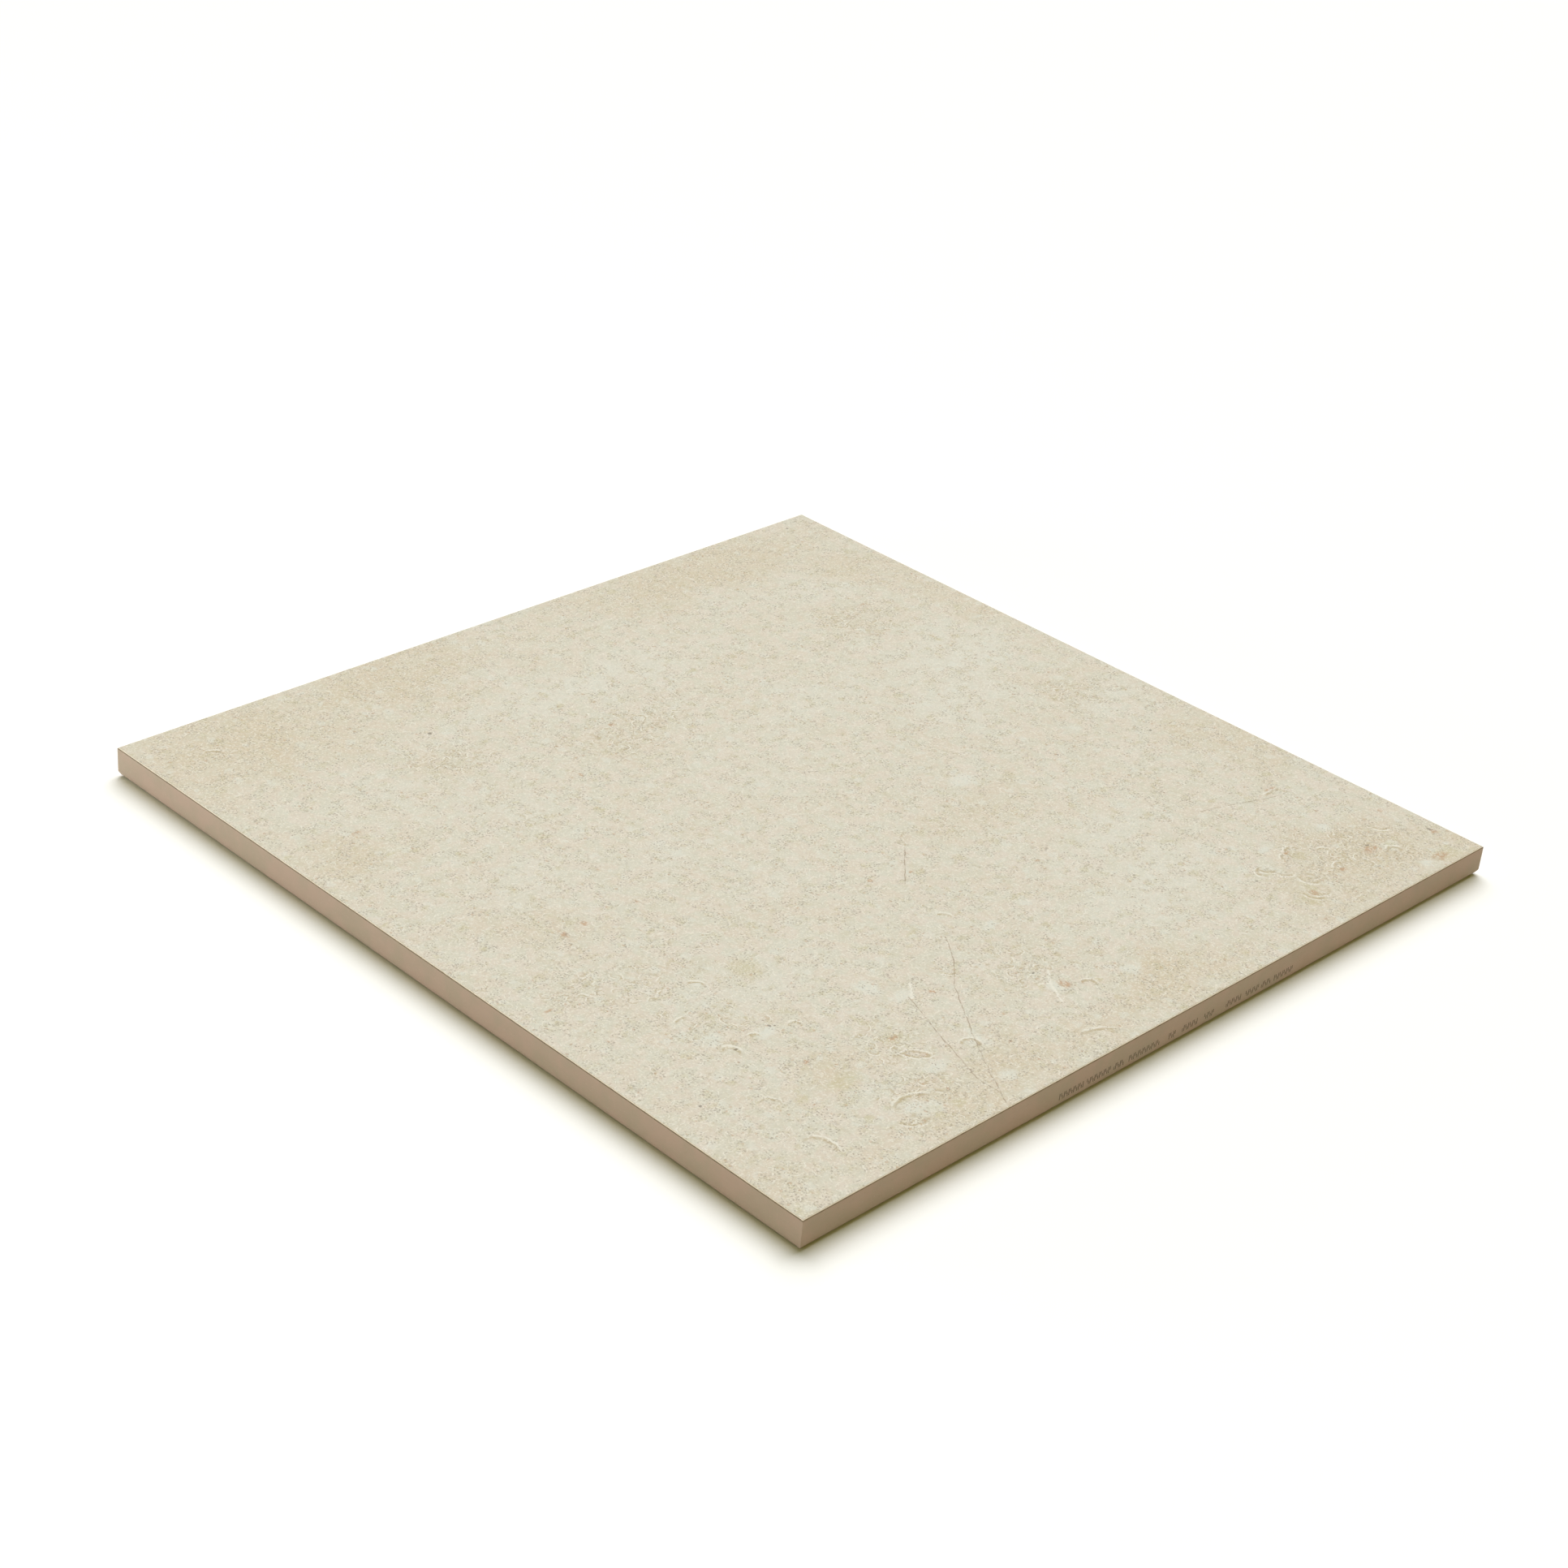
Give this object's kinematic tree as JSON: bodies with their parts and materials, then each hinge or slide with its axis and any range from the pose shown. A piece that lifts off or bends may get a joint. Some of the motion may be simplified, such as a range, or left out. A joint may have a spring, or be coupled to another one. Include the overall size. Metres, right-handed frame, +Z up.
{
  "type": "square porcelain paver",
  "caption": "Flat square paver of pressed stoneware with a printed limestone-look glazed face, an engobe coat, a fine ground arris, a bevelled foot and a keyed back with kiln wash.",
  "frame": {"origin": "under the middle of the paver, on the plane its back rests on", "axes": "+Z up out of the walking face; +X and +Y along the square's sides, with the ink-marked side facing -Y"},
  "size_m": [0.6, 0.6, 0.02],
  "materials": {
    "printed_glaze": "matte",
    "engobe": "matte",
    "stoneware": "matte",
    "kiln_wash": "matte"
  },
  "bodies": {
    "root": {"printed_glaze": "printed_glaze", "engobe_coat": "engobe", "stoneware_body": "stoneware", "kiln_wash": "kiln_wash"}
  },
  "joints": []
}
